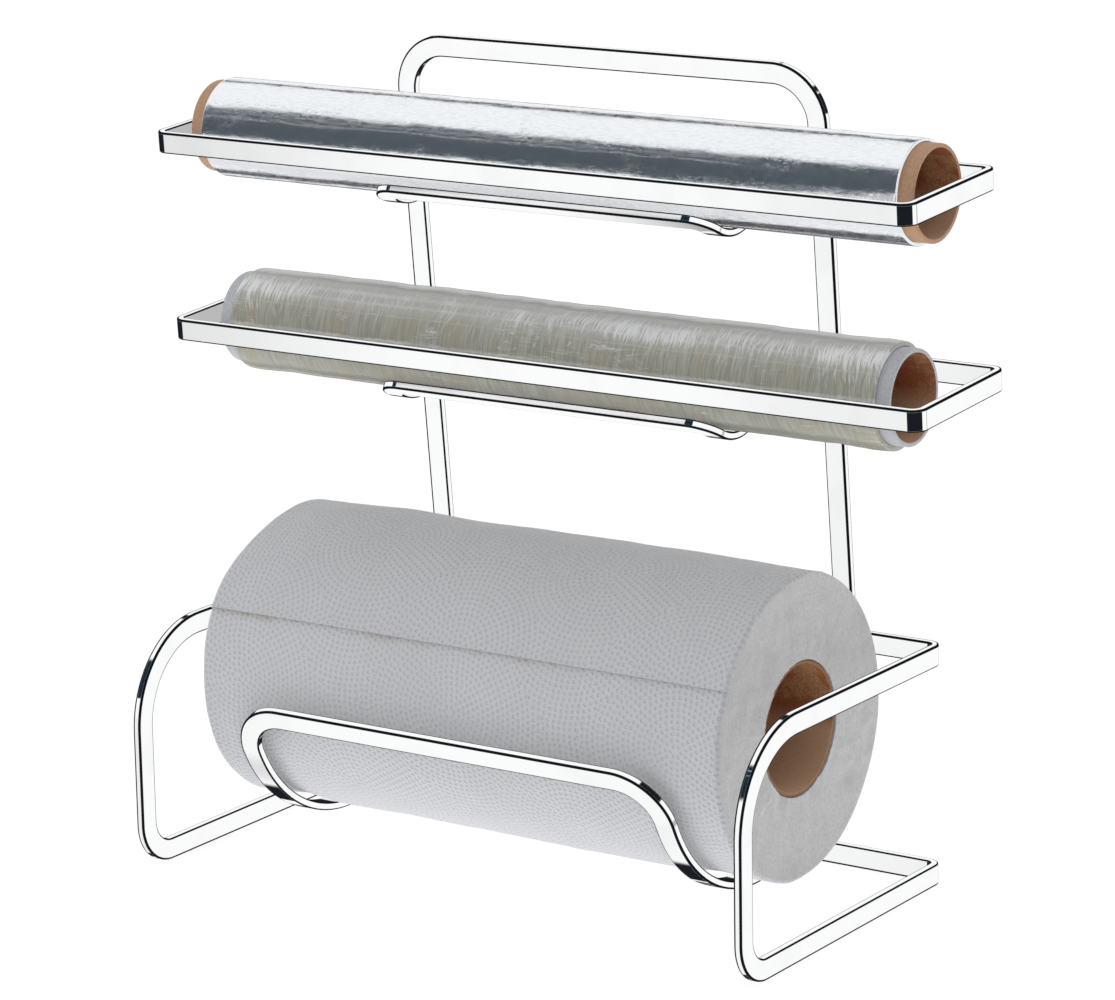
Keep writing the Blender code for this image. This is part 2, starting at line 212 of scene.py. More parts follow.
# How an edge's painted dark reflection ends: over this length, and within this share of half of a
# face.
PAINTED_EDGE_FADE = 0.1 * MM
PAINTED_EDGE_SHARE = 0.4


def grid_quads(rows, columns, wrap_rows):
    """Quads over rows of points, each row a closed ring; wrap_rows joins the last to the first."""
    row, here = np.mgrid[:rows if wrap_rows else rows - 1, :columns]
    first, second, there = row * columns, (row + 1) % rows * columns, (here + 1) % columns
    corners = (first + here, first + there, second + there, second + here)
    return np.stack(corners, axis=-1).reshape(-1, 4)


def make_piece(name, points, finish, values, body, node, capped=False):
    """One closed skin from an array of rings of points, as the look of a CAD node.

    The rings close into a loop or are capped. values maps an attribute's name to one number, or
    three, for each point. Mirrors see no piece, so the metal and the foil mirror only the studio.
    """
    rows, columns = points.shape[:2]
    count = rows * columns
    faces = grid_quads(rows, columns, not capped).tolist()
    if capped:
        faces += [range(columns)[::-1], range(count - columns, count)]
    mesh = bpy.data.meshes.new(name)
    mesh.from_pydata(points.reshape(-1, 3).tolist(), [], faces)
    if mesh.validate():
        raise RuntimeError(f"{name} has faces that Blender had to mend")
    for key, value in values.items():
        flat = np.ascontiguousarray(value, dtype=np.float32).ravel()
        is_vector = flat.size == 3 * count
        layer = mesh.attributes.new(key, "FLOAT_VECTOR" if is_vector else "FLOAT", "POINT")
        layer.data.foreach_set("vector" if is_vector else "value", flat)
    mesh.materials.append(finish)
    mesh.shade_smooth()
    mesh.set_sharp_from_angle(angle=SHARP_ANGLE)
    piece = bpy.data.objects.new(name, mesh)
    bpy.context.scene.collection.objects.link(piece)
    piece.visible_glossy = False
    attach(piece, body)
    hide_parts(node)


def make_bar(stand, name, node, skin, capped=False):
    """A bar of the stand, from its rings of points and their painted edge reflection."""
    points, outline = skin
    make_piece(name, points, chrome_finish(stand.finishes), {"outline": outline},
               "stand", node, capped)


def bar_section(bar, bold, inset, covered):
    """The bar's rounded section at each station, as arrays of across, through and painted edge
    reflection.

    Each edge is a quarter circle. The painted dark reflection covers it and reaches onto the faces
    beside it, further if bold names that edge, and then fades. inset draws the section in, and
    covered is the least painted edge reflection.
    """
    wide, thick = bar.width / 2, bar.thickness / 2
    edges = []
    for index, signs in enumerate(((1, 1), (-1, 1), (-1, -1), (1, -1))):
        centre = np.multiply(signs, (wide - bar.rounding, thick - bar.rounding))[:, None]
        turn = QUARTER_TURN * index + np.linspace(0.0, QUARTER_TURN, EDGE_STEPS)
        arc = centre + bar.rounding * np.stack([np.cos(turn), np.sin(turn)])
        tangent = np.stack([-np.sin(turn), np.cos(turn)])
        reach = bar.bold_painted_edge_reflection if index in bold else bar.outline
        near = min(reach, PAINTED_EDGE_SHARE * (thick - bar.rounding))
        edges += [arc[:, :1] - tangent[:, :1] * (near + PAINTED_EDGE_FADE, near), arc,
                  arc[:, -1:] + tangent[:, -1:] * (near, near + PAINTED_EDGE_FADE)]
    across, through = np.concatenate(edges, axis=1)
    outline = np.array(([0.0, 1.0] + [1.0] * EDGE_STEPS + [1.0, 0.0]) * 4)
    return (across * (wide - inset) / wide, through * (thick - inset) / thick,
            np.maximum(outline, covered))


# The stations that end a bar: how far from the tip, how far inset, and how much painted edge
# reflection.
TIPS = ((0.5 * MM, 0.0, 0.0), (0.4 * MM, 0.0, 1.0), (0.0, 0.35 * MM, 1.0), (0.0, 0.5 * MM, 0.0))
TIP_LENGTH = TIPS[0][0]


def spin(vector, axis, turns):
    """A vector turned about a unit axis by each of some angles, by Rodrigues' formula."""
    cosine, sine = np.cos(turns)[:, None], np.sin(turns)[:, None]
    return vector * cosine + np.cross(axis, vector) * sine + axis * axis.dot(vector) * (1 - cosine)


class Bench:
    """A flat bar's middle line, grown by straight runs and by bends in its own frame.

    along points the way it grows and across lies along its width.
    """

    def __init__(self, bar, start, along, across):
        self.bar = bar
        self.point, self.along, self.across = np.array([start, along, across], float)
        self.stations = []

    def grow(self, points, alongs, acrosses, end=(0.0, 0.0)):
        """Add stations, each with end's inset and outline, and move to the last of them."""
        ends = np.broadcast_to(end, (len(points), 2))
        self.stations.append(np.concatenate([points, alongs, acrosses, ends], axis=1))
        self.point, self.along, self.across = points[-1], alongs[-1], acrosses[-1]

    def run(self, distance, end=(0.0, 0.0)):
        """Grow straight on, with a station at the far end."""
        self.grow(self.point[None] + self.along * distance, self.along[None],
                  self.across[None], end)

    def tip(self, closing):
        """The small chamfer at the bar's start, or at its end if closing; it moves nowhere."""
        here = self.point
        for back, *end in TIPS if closing else TIPS[::-1]:
            self.point = here
            self.run(-back if closing else back, end)
        self.point = here

    def turn(self, axis, whole, radius):
        """Grow round an arc of the middle line in equal steps."""
        turns = np.linspace(0.0, whole, ceil(abs(whole) / BEND_STEP) + 1)[1:]
        side = np.cross(axis, self.along) * np.sign(whole)
        centre = self.point + side * radius
        self.grow(centre + spin(self.point - centre, axis, turns), spin(self.along, axis, turns),
                  spin(self.across, axis, turns))

    def follow(self, *steps):
        """Run each step's distance, and then bend by its turn and inside radius.

        A flat bend is about the bar's width, and one on edge is about its wide face's normal.
        """
        for distance, flat, whole, inside in steps:
            self.run(distance)
            if flat:
                self.turn(self.across, whole, inside + self.bar.thickness / 2)
            else:
                normal = np.cross(self.along, self.across)
                self.turn(normal, whole, inside + self.bar.width / 2)

    def skin(self, bold):
        """Rings of points round the middle line, and each point's painted edge reflection.

        A point is the station's, plus across along the bar's width and through along the normal of
        its wide face.
        """
        point, along, across_axis, ends = np.split(np.concatenate(self.stations), (3, 6, 9), axis=1)
        across, through, outline = bar_section(self.bar, bold, ends[:, :1], ends[:, 1:])
        rings = (point[:, None] + across[..., None] * across_axis[:, None]
                 + through[..., None] * np.cross(along, across_axis)[:, None])
        return rings, outline


# Whether a bend is flat.
FLAT, EDGE = True, False


def place_points(points, origin, tilt):
    """Points from a frame that is turned about X by tilt and stands at origin."""
    x, y, z = np.moveaxis(points, -1, 0)
    return np.stack([x + origin[0], y * cos(tilt) - z * sin(tilt) + origin[1],
                     y * sin(tilt) + z * cos(tilt) + origin[2]], axis=-1)


def walk(start, heading, legs, distances):
    """Points and headings at some distances along a plane path of legs, each a length and a turn.

    A straight leg adds its part along the heading, and an arc adds its radius times the change of
    (sine, minus cosine) of the heading.
    """
    y, z, headings = (np.full(distances.shape, value) for value in (*start, heading))
    passed = 0.0
    for index, (leg, whole) in enumerate(legs):
        longest = np.inf if index == len(legs) - 1 else leg
        part = np.clip(distances - passed, 0.0, longest)
        later = headings + whole * part / leg
        if whole:
            y = y + leg / whole * (np.sin(later) - np.sin(headings))
            z = z + leg / whole * (np.cos(headings) - np.cos(later))
        else:
            y = y + part * np.cos(headings)
            z = z + part * np.sin(headings)
        headings = later
        passed += leg
    return y, z, headings


def strap_side(bar, sizes, inside, rear, top):
    """A strap's side view: start, heading and legs of its middle line, round the roll's axis.

    It runs down from the front bar's upper edge to the arc under the roll, leaves that on a tangent
    and laps the bar that it is welded to, whose front face stands at rear and whose edge at top.
    """
    radius = inside + bar.thickness / 2
    lap_radius = sizes.lap_bend + bar.thickness / 2
    front, run, leave = sizes.front_angle, sizes.front_run, sizes.leave_angle
    spare = rear - CONTACT_GAP - bar.thickness / 2 - radius
    tangent = (spare + (radius - lap_radius) * (1 - cos(leave))) / sin(leave)
    lap_start = (lap_radius - radius) * sin(leave) + tangent * cos(leave)
    sweep = HALF_TURN - leave - front
    legs = [(run, 0.0), (radius * sweep, sweep), (tangent, 0.0), (lap_radius * leave, leave),
            (top - lap_start, 0.0)]
    start = (-radius * cos(front) - run * sin(front), -radius * sin(front) + run * cos(front))
    return start, front - QUARTER_TURN, legs


def strap_stations(bar, sizes, legs):
    """The strap laid out flat, as rows of x, distance, heading, inset and painted edge reflection.

    It comes down one side, rounds a corner into the front bar, and goes back up the other.
    """
    corner = sizes.corner + bar.width / 2
    arm = sizes.half_width - bar.width / 2
    corner_end = bar.width / 2 + corner
    turns = np.linspace(0.0, QUARTER_TURN, ceil(QUARTER_TURN / BEND_STEP) + 1)
    rises, passed = [], 0.0
    for leg, whole in legs:
        steps = max(1, ceil(abs(whole) / BEND_STEP))
        rises.append(passed + leg * np.arange(1, steps + 1) / steps)
        passed += leg
    rises = np.concatenate(rises)
    rises = rises[(rises > corner_end + bar.rounding) & (rises < passed - TIP_LENGTH)]
    tips = np.array(TIPS)
    rises = np.concatenate([rises, passed - tips[:, 0]])
    blank = np.zeros(len(turns) + len(rises))
    right = np.stack([
        np.concatenate([arm - corner + corner * np.sin(turns), np.full(len(rises), arm)]),
        np.concatenate([corner_end - corner * np.cos(turns), rises]),
        np.concatenate([turns, np.full(len(rises), QUARTER_TURN)]), blank, blank], axis=1)
    right[-len(tips):, 3:] = tips[:, 1:]
    return np.concatenate([right[::-1] * (-1, 1, -1, 1, 1), right])


def strap_skin(bar, sizes, side, bold):
    """The flat pattern of a strap rolled onto its side view.

    A point moves along the pattern by across times (minus sine, cosine) of its heading, is carried
    along the side view by its distance, and is set off by through along the side view's normal.
    """
    start, first_heading, legs = side
    stations = strap_stations(bar, sizes, legs)
    x, distance, heading, *end = (column[:, None] for column in stations.T)
    across, through, outline = bar_section(bar, bold, *end)
    y, z, turned = walk(start, first_heading, legs, distance + across * np.cos(heading))
    rings = np.stack([x - across * np.sin(heading), y - through * np.sin(turned),
                      z + through * np.cos(turned)], axis=-1)
    return rings, outline


# Ripples on the rolls: the seed, how many waves, and the shortest and the longest in millimetres.
RIPPLES = {
    "foil swell": (11, 30, 18, 70),
    "foil crease": (12, 40, 5, 22),
    "foil patch": (13, 10, 40, 90),
    "film swell": (21, 24, 14, 60),
    "film bands": (22, 40, 2.5, 30),
    "paper swell": (31, 24, 30, 120),
    "paper crumple": (32, 30, 8, 30),
    "paper slump": (34, 8, 60, 160),
    "paper ends": (33, 20, 6, 40),
}


def ripples(kind, x, turn, radius):
    """Seeded ripples on a roll, about 1 high: a sum of cosines in whole waves round it.

    Each wave's length is drawn between the shortest and the longest, and its height goes with it.
    """
    seed, count, shortest, longest = RIPPLES[kind]
    draw = np.random.default_rng(seed)
    total, weight = 0.0, 0.0
    for _ in range(count):
        wave = shortest * MM * (longest / shortest) ** draw.random()
        heading = draw.random() * HALF_TURN
        round_count = round(FULL_TURN * radius * cos(heading) / wave)
        height = wave / (longest * MM)
        total = total + height * np.cos(round_count * turn + FULL_TURN * sin(heading) / wave * x
                                        + FULL_TURN * draw.random())
        weight += height * height / 2
    return total / weight ** 0.5


def full_circle(sides):
    """Equal angles round a roll, one for each ring of its skin."""
    return FULL_TURN * np.arange(sides)[:, None] / sides


def turn_about(axis, x, reach, turn):
    """Points at x, and at a reach from the axis, each turned round it from the front."""
    x, reach, turn = np.broadcast_arrays(x, reach, turn)
    return np.stack([x, axis[0] - reach * np.cos(turn), axis[1] + reach * np.sin(turn)], axis=-1)


CORE_STATIONS = 12
CORE_SIDES = 160
CORE_ROUNDING = 0.35 * MM


def tube_profile(half, outside, inside, rounding):
    """A tube's closed section as arrays of x and reach, and which points lie in the bore.

    It runs along the outside towards +X, in over a rounded rim, back along the bore and out.
    """
    turn = np.linspace(0.0, QUARTER_TURN, EDGE_STEPS)
    spread = np.linspace(-1.0, 1.0, CORE_STATIONS)[1:-1]
    flat, sine, cosine = half - rounding, rounding * np.sin(turn), rounding * np.cos(turn)
    outer = (flat + sine, outside - rounding + cosine)
    inner = (flat + cosine, inside + rounding - sine)
    x = np.concatenate([spread * flat, outer[0], inner[0],
                        -spread * flat, -inner[0][::-1], -outer[0][::-1]])
    reach = np.concatenate([np.full(len(spread), outside), outer[1], inner[1],
                            np.full(len(spread), inside), inner[1][::-1], outer[1][::-1]])
    return x, reach, (reach < inside + rounding / 2).astype(float)


# Finishes.

WHITE = (1.0, 1.0, 1.0)
BLACK = (0.0, 0.0, 0.0)


class Wire:
    """A socket, so that shader maths reads as an expression."""

    def __init__(self, graph, socket):
        self.graph = graph
        self.socket = socket

    def other(self, name):
        """Another output of the same node."""
        return Wire(self.graph, self.socket.node.outputs[name])

    def maths(self, operation, other=0.0):
        """One Math node, on this wire and another."""
        return self.graph.add("ShaderNodeMath", {"operation": operation}, {0: self, 1: other})

    def __add__(self, other):
        return self.maths("ADD", other)

    def __sub__(self, other):
        return self.maths("SUBTRACT", other)

    def __rsub__(self, other):
        return self * -1.0 + other

    def __mul__(self, other):
        return self.maths("MULTIPLY", other)

    def __truediv__(self, other):
        return self.maths("DIVIDE", other)

    __radd__, __rmul__ = __add__, __mul__

    def most(self, other):
        """The larger of this wire and another."""
        return self.maths("MAXIMUM", other)

    def rise(self, start, end):
        """0 before start, 1 after end and a smooth step between; it falls if end is the lower."""
        return self.graph.add("ShaderNodeMapRange", {"interpolation_type": "SMOOTHSTEP"},
                              {"Value": self, "From Min": start, "From Max": end})

    def band(self, start, end, soft):
        """1 between start and end, with a soft edge at each."""
        return self.rise(start - soft, start + soft) * self.rise(end + soft, end - soft)

    def bands(self, table):
        """The sum of bands, each given by its start, end, softness and strength."""
        return sum(self.band(*limits) * strength for *limits, strength in table)


class Graph:
    """The nodes of one material, or of the world."""

    def __init__(self, owner):
        owner.use_nodes = True
        self.owner = owner
        self.tree = owner.node_tree
        self.tree.nodes.clear()

    def add(self, kind, settings=None, sockets=None, output=0):
        """Any node: its type, settings, sockets' values or links, and the output wanted."""
        node = self.tree.nodes.new(kind)
        for name, value in (settings or {}).items():
            setattr(node, name, value)
        for name, value in (sockets or {}).items():
            if isinstance(value, Wire):
                self.tree.links.new(value.socket, node.inputs[name])
            else:
                node.inputs[name].default_value = value
        return Wire(self, node.outputs[output] if node.outputs else None)

    def mix(self, first, second, amount):
        """From one colour to another by an amount."""
        sockets = {0: amount, 6: as_colour(first), 7: as_colour(second)}
        return self.add("ShaderNodeMix", {"data_type": "RGBA"}, sockets, output=2)

    def position(self):
        """Object coordinates."""
        return self.add("ShaderNodeTexCoord", output="Object")

    def vectors(self, operation, first, second):
        """One Vector Math node."""
        return self.add("ShaderNodeVectorMath", {"operation": operation}, {0: first, 1: second})

    def split(self, vector):
        """The three parts of a vector."""
        x = self.add("ShaderNodeSeparateXYZ", None, {0: vector})
        return x, x.other("Y"), x.other("Z")

    def join(self, x, y=0.0):
        """A vector from its first two parts."""
        return self.add("ShaderNodeCombineXYZ", None, {"X": x, "Y": y})

    def noise(self, vector, scale, detail=2.0, roughness=0.5, distortion=0.0):
        """Noise between 0 and 1, with scale in waves a metre."""
        return self.add("ShaderNodeTexNoise", None,
                        {"Vector": vector, "Scale": scale, "Detail": detail,
                         "Roughness": roughness, "Distortion": distortion})

    def grain(self, place, along, about, *noise):
        """Noise whose scale is multiplied by along on the roll's axis, and by about round it."""
        return self.noise(self.vectors("MULTIPLY", place, (along, about, about)), *noise)

    def attribute(self, name, output="Fac"):
        """A piece's own attribute."""
        return self.add("ShaderNodeAttribute", {"attribute_name": name}, output=output)

    def bump(self, height, depth, strength=1.0, normal=None):
        """A bump whose height of 1 stands that deep, in metres."""
        sockets = {"Strength": strength, "Distance": depth, "Height": height}
        if normal is not None:
            sockets["Normal"] = normal
        return self.add("ShaderNodeBump", None, sockets)

    def glow(self, colour, strength=1.0):
        """A shader that gives off light of its own."""
        return self.add("ShaderNodeEmission", None,
                        {"Color": as_colour(colour), "Strength": strength})

    def surface(self, sockets):
        """The main shader, joined to the output."""
        return self.finish(self.add("ShaderNodeBsdfPrincipled", None, sockets))

    def finish(self, shader):
        """Join a shader to the output, and give the material that is then done."""
        self.add("ShaderNodeOutputMaterial", None, {"Surface": shader})
        return self.owner


def material_graph(name):
    """The nodes of a new material."""
    return Graph(bpy.data.materials.new(name))


def as_colour(value):
    """A colour with its alpha, or a wire left as it is."""
    return value if isinstance(value, Wire) else (*value, 1.0)


def shade(colour, factor):
    """A colour made darker or lighter by a factor."""
    return [part * factor for part in colour]


def chrome_finish(finishes):
    """Bright plating: a mirror on the faces, and a dark reflection painted onto each rounded edge.

    A material of this name may be there already, so its nodes are made anew.
    """
    graph = Graph(bpy.data.materials.get("chrome") or bpy.data.materials.new("chrome"))
    outline = graph.attribute("outline")
    haze = graph.noise(graph.position(), 60.0, 3.0)
    plate = graph.mix(finishes.chrome, shade(finishes.chrome, 0.96), haze.rise(0.45, 0.75))
    return graph.surface({
        # The rounded edges take a painted dark reflection: near black, not metal, and rougher.
        "Base Color": graph.mix(plate, finishes.outline, outline),
        "Metallic": 1.0 - outline,
        "Roughness": outline * 0.4 + haze * 0.03 + 0.03,
        "Specular IOR Level": 0.0,
    })


# Painted shade and painted light in the bores: a dark rust-brown for patches above the middle, and a
# pale tone below.
BORE_SHADE_PATCH = (0.24, 0.055, 0.016)
BORE_LIT = (0.55, 0.37, 0.25)
BORE_SHADE_FADE = 8.0 * MM


def card_finish(name, outside, bore, middle):
    """Card: its outside, and a darker speckled bore, with dark rust-brown patches of painted shade
    above its middle and painted light, paler, below.
    """
    graph = material_graph(name)
    position = graph.position()
    fibre = graph.noise(position, 900.0, 4.0, 0.6)
    cloud = graph.noise(position, 90.0, 3.0, 0.6)
    speckle = graph.noise(position, 1100.0, 4.0, 0.75)
    skin = graph.mix(shade(outside, 0.9), shade(outside, 1.08), fibre.rise(0.3, 0.7))
    deep = graph.mix(shade(bore, 0.5), bore, speckle.rise(0.35, 0.6))
    # Painted shade: dark rust-brown cloud patches in the upper bore; painted light: the lower bore
    # made paler.
    shaded_lining = graph.mix(deep, BORE_SHADE_PATCH, cloud.rise(0.44, 0.60) * 0.7)
    above = graph.split(position)[2].rise(middle - BORE_SHADE_FADE, middle + 1.0 * MM)
    lining = graph.mix(graph.mix(deep, BORE_LIT, 0.7), shaded_lining, above)
    return graph.surface({
        "Base Color": graph.mix(skin, lining, graph.attribute("bore")),
        "Roughness": 0.85,
        "Specular IOR Level": 0.2,
        "Normal": graph.bump(fibre, 0.05 * MM),
    })


def foil_finish(finishes):
    """Bright foil: fine rolling marks, and crinkles that tear the edges of what it mirrors."""
    graph = material_graph("foil")
    position = graph.position()
    grain = graph.grain(position, 0.25, 1.0, 1500.0, 3.0, 0.6)
    scratch = graph.grain(position, 0.7, 1.0, 420.0, 3.0, 0.6, 1.5)
    ridge = (scratch - 0.5).maths("ABSOLUTE").rise(0.035, 0.0)
    patch = graph.grain(position, 0.6, 1.0, 60.0, 2.0).rise(0.5, 0.68)
    slow = graph.grain(position, 0.3, 1.0, 50.0, 3.0, 0.55)
    jag = graph.grain(position, 0.8, 1.0, 230.0, 3.0, 0.6)
    speck = graph.grain(position, 0.5, 1.0, 520.0, 4.0, 0.7).rise(0.48, 0.66)
    normal = None
    for height, depth in ((slow, 0.7 * MM), (jag, 0.035 * MM),
                          (ridge * (0.3 + 0.7 * patch), 0.02 * MM), (grain, 0.018 * MM)):
        normal = graph.bump(height, depth, 1.0, normal)
    return graph.surface({
        "Base Color": graph.mix(finishes.foil, shade(finishes.foil, 0.93), grain.rise(0.4, 0.7)),
        "Metallic": 0.9,
        "Roughness": grain * 0.05 + speck * 0.10 + 0.08,
        "Specular IOR Level": 0.0,
        "Normal": normal,
    })


# Where the film's painted highlight streaks crowd together, and its long painted glints, as bands of
# degrees above
# its front: start, end, softness and strength.
STREAK_BANDS = ((38.0, 67.0, 14.0, 0.75), (22.0, 30.0, 9.0, 0.4),
                (122.0, 150.0, 10.0, 0.8), (-150.0, -105.0, 14.0, 0.8))
FRONT_STREAKS = ((3.0, 7.0, 4.0, 0.5),)
GLINTS = ((45.0, 48.0, 1.5, 0.45), (56.0, 62.0, 2.5, 0.5), (33.0, 34.5, 1.0, 0.3),
          (3.5, 7.0, 1.5, 0.75))

# Where along the film its painted highlight streaks are full, near its left end and over its right
# half, and where its two ends whiten with more painted highlight, in metres.
STREAKS_FULL = ((-0.097, -0.115), (-0.045, 0.020))
WHITE_ENDS = ((-0.098, -0.122), (0.108, 0.128))

# The film's warmer clouds, and its top painted paler as painted light.
FILM_AMBER = (0.35, 0.31, 0.235)
FILM_LIT_TOP = (0.42, 0.425, 0.41)


def film_finish(finishes):
    """Clear film wound tight: olive grey in depth, with white painted highlights, and its top painted
    paler as painted light.

    The painted highlights are fine curved lines round the roll, crowded together in bands along it
    and at its ends, and a few long glints and torn lines.
    """
    graph = material_graph("film")
    position = graph.position()
    x, y, z = graph.split(position)
    axis = roll_axis("film_winding")
    turn = (z - axis[1]).maths("ARCTAN2", axis[0] - y) * DEGREES
    wander = graph.grain(position, 1.0, 0.0, 30.0, 3.0, 0.6) - 0.5
    jag = graph.grain(position, 1.0, 0.0, 420.0, 2.0, 0.7) - 0.5
    bands = (turn + wander * 24.0 + jag * 9.0).bands(STREAK_BANDS)
    bands = bands + (turn + wander * 6.0).bands(FRONT_STREAKS)
    bent = graph.grain(position, 0.5, 1.0, 40.0, 2.0)
    hoop = graph.vectors("MULTIPLY", position, (1.0, 0.06, 0.06))
    streak = graph.noise(graph.vectors("ADD", hoop, graph.join(bent * 0.012)), 1500.0, 4.0, 0.75)
    fine = graph.noise(hoop, 1500.0, 2.0, 0.6)
    veil = graph.grain(position, 1.0, 0.35, 70.0, 3.0, 0.6).rise(0.42, 0.66)
    broad = graph.grain(position, 1.6, 0.25, 60.0, 3.0, 0.6)
    zone = x.rise(*STREAKS_FULL[0]).most(x.rise(*STREAKS_FULL[1])) * 0.45 + 0.55
    ends = (x.rise(*WHITE_ENDS[0]) * 0.5).most(x.rise(*WHITE_ENDS[1]) * 0.6)
    crowd = bands * zone * (0.8 + veil * 0.4) + ends * 0.3
    strength = 0.12 + crowd.maths("MINIMUM", 0.88)
    # Painted highlights: white streaks, then long glints and torn lines, in the highlight colour.
    painted_highlight = (streak - 0.61 + crowd * 0.25).rise(0.0, 0.08) * strength
    strips = (turn + wander * 7.0 + jag * 5.0).bands(GLINTS)
    line = graph.grain(position, 0.1, 1.0, 240.0, 3.0, 0.6, 1.0) - 0.5
    torn = graph.noise(position, 55.0, 2.0).rise(0.5, 0.6) * 0.55
    painted_highlight = painted_highlight.most(strips * (0.5 + veil * 0.5))
    painted_highlight = painted_highlight.most(line.maths("ABSOLUTE").rise(0.013, 0.0) * torn)
    depth = graph.mix(shade(finishes.film, 0.9), shade(finishes.film, 1.25), fine.rise(0.35, 0.65))
    depth = graph.mix(depth, FILM_AMBER, broad.rise(0.46, 0.62) * 0.6)
    # Painted light: the film's top made paler.
    depth = graph.mix(depth, FILM_LIT_TOP, turn.band(40.0, 140.0, 20.0) * 0.7)
    return graph.surface({
        "Base Color": graph.mix(depth, finishes.painted_film_highlight, painted_highlight),
        "Roughness": 0.28 + fine * 0.1,
        "Coat Weight": 0.4,
        "Coat Roughness": 0.08,
        "Normal": graph.bump(streak * 0.6 + fine * 0.4, 0.2 * MM, 0.5),
    })


ROSETTE_WIDTH, ROSETTE_HEIGHT = 96.0 * MM, 84.0 * MM

# How far from its centre a dot ends, and how far it is whole.
DOT_EDGE = (0.85 * MM, 0.3 * MM)

# How far before the sheet's end the painted shade under the loose edge starts, and is full.
EDGE_SHADE_START, EDGE_SHADE_FULL = 3.5 * MM, 0.5 * MM


def nearest_rosette(across, around, offset):
    """Where a point lies from the nearest centre of a lattice, moved by half a cell or not."""
    u = ((across / ROSETTE_WIDTH + offset).maths("FRACT") - 0.5) * ROSETTE_WIDTH
    v = ((around / ROSETTE_HEIGHT + offset).maths("FRACT") - 0.5) * ROSETTE_HEIGHT
    return u, v, (u * u + v * v).maths("SQRT")


def embossed_dots(rolls, across, around):
    """1 on round dots, which lie on circles one row apart about the nearest rosette's centre.

    Each circle holds a whole number of them, and every second row is moved by half a dot.
    """
    first = nearest_rosette(across, around, 0.0)
    second = nearest_rosette(across, around, 0.5)
    pick = (first[2] - second[2]).rise(-0.01 * MM, 0.01 * MM)
    u, v, ring = (a + (b - a) * pick for a, b in zip(first, second))
    row = (ring / rolls.dot_row).maths("ROUND").most(1.0)
    count = (row * (FULL_TURN * rolls.dot_row / rolls.dot_pitch)).maths("ROUND")
    turn = v.maths("ARCTAN2", u) / FULL_TURN * count + row * 0.5
    along = (turn.maths("FRACT") - 0.5) * ring * FULL_TURN / count
    off = ring - row * rolls.dot_row
    return (along * along + off * off).maths("SQRT").rise(*DOT_EDGE)


def paper_finish(finishes, rolls):
    """Soft paper, embossed with dots painted darker as shade, with a strip of brownish painted shade
    under its loose edge.

    Its ends show the layers' edges as fine rings, crinkles that run outward, and loose fibres. Each
    layer of colour is the paper's own, made darker by a factor in some places.
    """
    graph = material_graph("paper")
    position = graph.position()
    across, around, side = graph.split(graph.attribute("sheet", "Vector"))
    dot = embossed_dots(rolls, across, around) * side
    fibre = graph.noise(position, 1400.0, 4.0, 0.7)
    sheet = graph.mix(finishes.paper, shade(finishes.paper, 0.93), fibre.rise(0.35, 0.75))
    cloud = graph.noise(position, 22.0, 3.0, 0.6)
    # Painted shade: the embossed dots are made darker; the clouds are the paper's own uneven tone.
    for factor, where in ((0.86, dot * 0.45), (0.95, cloud.rise(0.4, 0.7))):
        sheet = graph.mix(sheet, shade(finishes.paper, factor), where)
    # Painted shade: a brownish strip, in patches, just under the loose edge.
    shade_patches = graph.grain(position, 1.0, 0.2, 60.0, 3.0, 0.7).rise(0.45, 0.65)
    whole = FULL_TURN * rolls.paper_radius
    under = around.rise(whole - EDGE_SHADE_START, whole - EDGE_SHADE_FULL) * shade_patches
    sheet = graph.mix(sheet, finishes.loose_edge_shade, under * 0.5)
    axis = roll_axis("towel_core")
    _, y, z = graph.split(position)
    y, z = y - axis[0], z - axis[1]
    reach = (y * y + z * z).maths("SQRT")
    turn = z.maths("ARCTAN2", y)
    wobble = graph.noise(position, 45.0, 2.0)
    rings = graph.noise(graph.join(reach + wobble * 0.004, turn * 0.004), 900.0, 3.0, 0.7)
    spokes = graph.join(reach * 0.25 + wobble * 0.012, turn * 0.05)
    crinkle = graph.noise(spokes, 900.0, 4.0, 0.7)
    blotch = graph.noise(position, 70.0, 4.0, 0.65)
    fuzz = graph.noise(position, 800.0, 2.0, 0.8)
    end = shade(finishes.paper_end, 1.05)
    for factor, where in ((0.96, rings.rise(0.3, 0.7)), (0.90, blotch.rise(0.45, 0.7)),
                          (0.84, fuzz.rise(0.48, 0.66) * 0.7),
                          (0.82, crinkle.rise(0.52, 0.7) * 0.5)):
        end = graph.mix(end, shade(finishes.paper_end, factor), where)
    relief = (1.0 - dot) * side + (rings * 0.2 + crinkle * 0.5 + fuzz) * (1.0 - side)
    return graph.surface({
        "Base Color": graph.mix(end, sheet, side),
        "Roughness": 0.95,
        "Specular IOR Level": 0.1,
        "Normal": graph.bump(fibre, 0.06 * MM, 0.5, graph.bump(relief, 0.4 * MM, 0.75)),
    })


# Pieces.

# Which edges of the section have the bold painted edge reflection, counted from across and through
# both positive.
BASE_BOLD = (0, 3)
BACK_BOLD = (2,)
TRAY_BOLD = (3,)
STRAP_BOLD = (2,)


